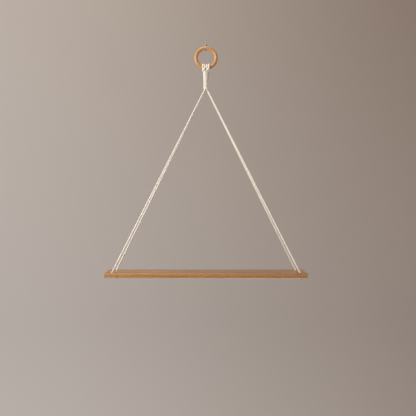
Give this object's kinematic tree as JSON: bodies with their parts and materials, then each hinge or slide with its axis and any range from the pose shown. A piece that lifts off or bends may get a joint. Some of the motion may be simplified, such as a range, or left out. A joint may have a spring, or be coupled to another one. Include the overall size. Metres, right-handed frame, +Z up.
{
  "type": "macrame wall shelf with picture hook",
  "caption": "Wooden board hung from a wooden ring on a picture hook by knotted cotton cords, a small open shelf for a wall.",
  "frame": {"origin": "on the flat back of the picture hook, between its nail and its bend, where it lies on the wall", "axes": "+Z up, +Y into the wall, +X along the board to the viewer's right"},
  "size_m": [0.5, 0.1, 0.5928],
  "materials": {
    "board_wood": "oiled, matt, with long grain",
    "ring_wood": "turned and waxed, satin",
    "cotton_cord": "natural twisted cotton, matt",
    "steel": "plain, slightly dull"
  },
  "bodies": {
    "root": {"shelf_board": "board_wood", "wooden_ring": "ring_wood", "macrame_hanger": "cotton_cord", "picture_hook": "steel", "hook_nail": "steel"}
  },
  "joints": []
}
